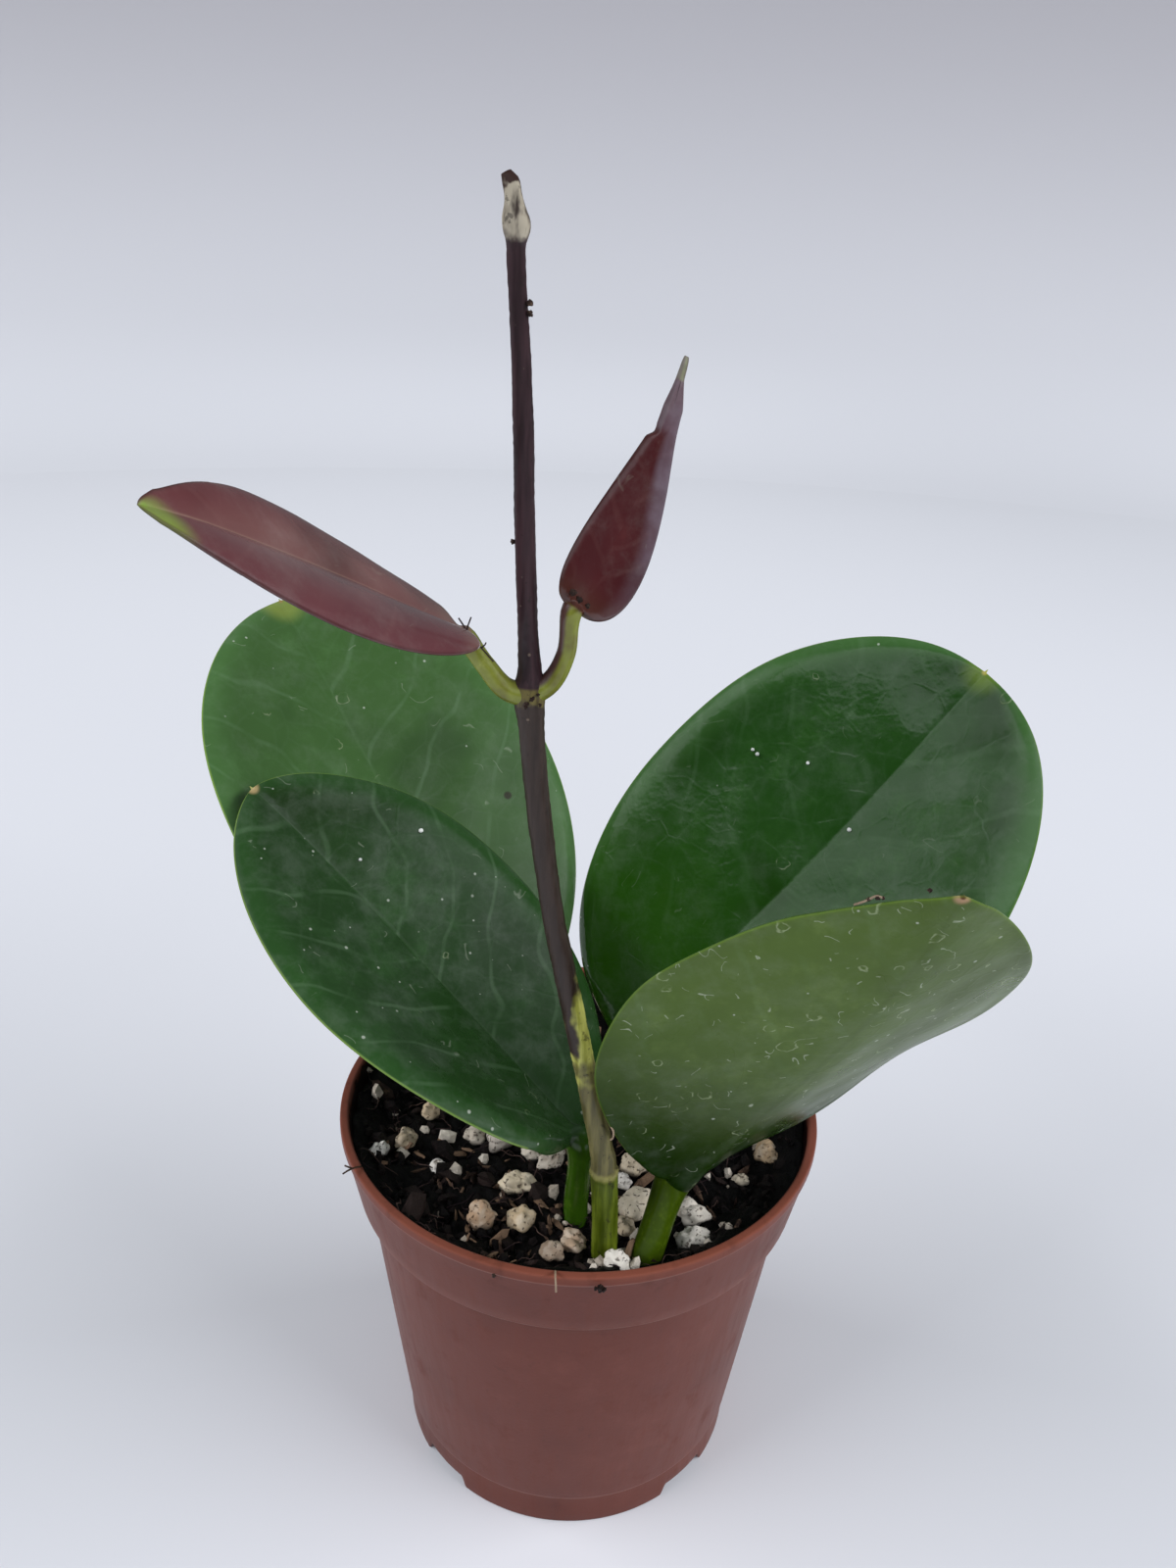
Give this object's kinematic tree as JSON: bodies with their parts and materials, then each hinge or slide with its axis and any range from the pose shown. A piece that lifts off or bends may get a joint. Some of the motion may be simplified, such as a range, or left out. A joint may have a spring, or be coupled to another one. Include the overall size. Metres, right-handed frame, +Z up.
{
  "type": "potted hoya australis",
  "caption": "Young climbing hoya with broad green leaves, a tall bare vine and small burgundy young leaves, rooted in dark gritty soil in a small round terracotta-coloured nursery pot.",
  "frame": {"origin": "centre of the whole plant's bounding box in plan, on the floor under the pot's foot", "axes": "+Z up, the front of the plant faces -Y"},
  "size_m": [0.0898, 0.0702, 0.1404],
  "materials": {
    "pot_plastic": "satin",
    "potting_soil": "matte",
    "pumice": "matte",
    "vine_bark": "satin",
    "green_stem": "satin",
    "mature_leaf": "satin",
    "young_leaf": "satin"
  },
  "bodies": {
    "root": {"pot": "pot_plastic", "soil": "potting_soil", "vine_stem": "vine_bark", "rear_cutting_stem": "green_stem", "leaf_front_left": "mature_leaf", "leaf_front_right": "mature_leaf", "leaf_rear_left": "mature_leaf", "leaf_rear_right": "mature_leaf", "young_leaf_left": "young_leaf", "young_leaf_right": "young_leaf", "pumice_grain_01": "pumice", "pumice_grain_02": "pumice", "pumice_grain_03": "pumice", "pumice_grain_04": "pumice", "pumice_grain_05": "pumice", "pumice_grain_06": "pumice", "pumice_grain_07": "pumice", "pumice_grain_08": "pumice", "pumice_grain_09": "pumice", "pumice_grain_10": "pumice", "pumice_grain_11": "pumice", "pumice_grain_12": "pumice", "pumice_grain_13": "pumice", "pumice_grain_14": "pumice", "pumice_grain_15": "pumice", "pumice_grain_16": "pumice", "pumice_grain_17": "pumice", "pumice_grain_18": "pumice", "pumice_grain_19": "pumice", "pumice_grain_20": "pumice", "pumice_grain_21": "pumice", "pumice_grain_22": "pumice", "pumice_grain_23": "pumice", "pumice_grain_24": "pumice", "pumice_grain_25": "pumice", "pumice_grain_26": "pumice", "pumice_grain_27": "pumice", "pumice_grain_28": "pumice"}
  },
  "joints": []
}
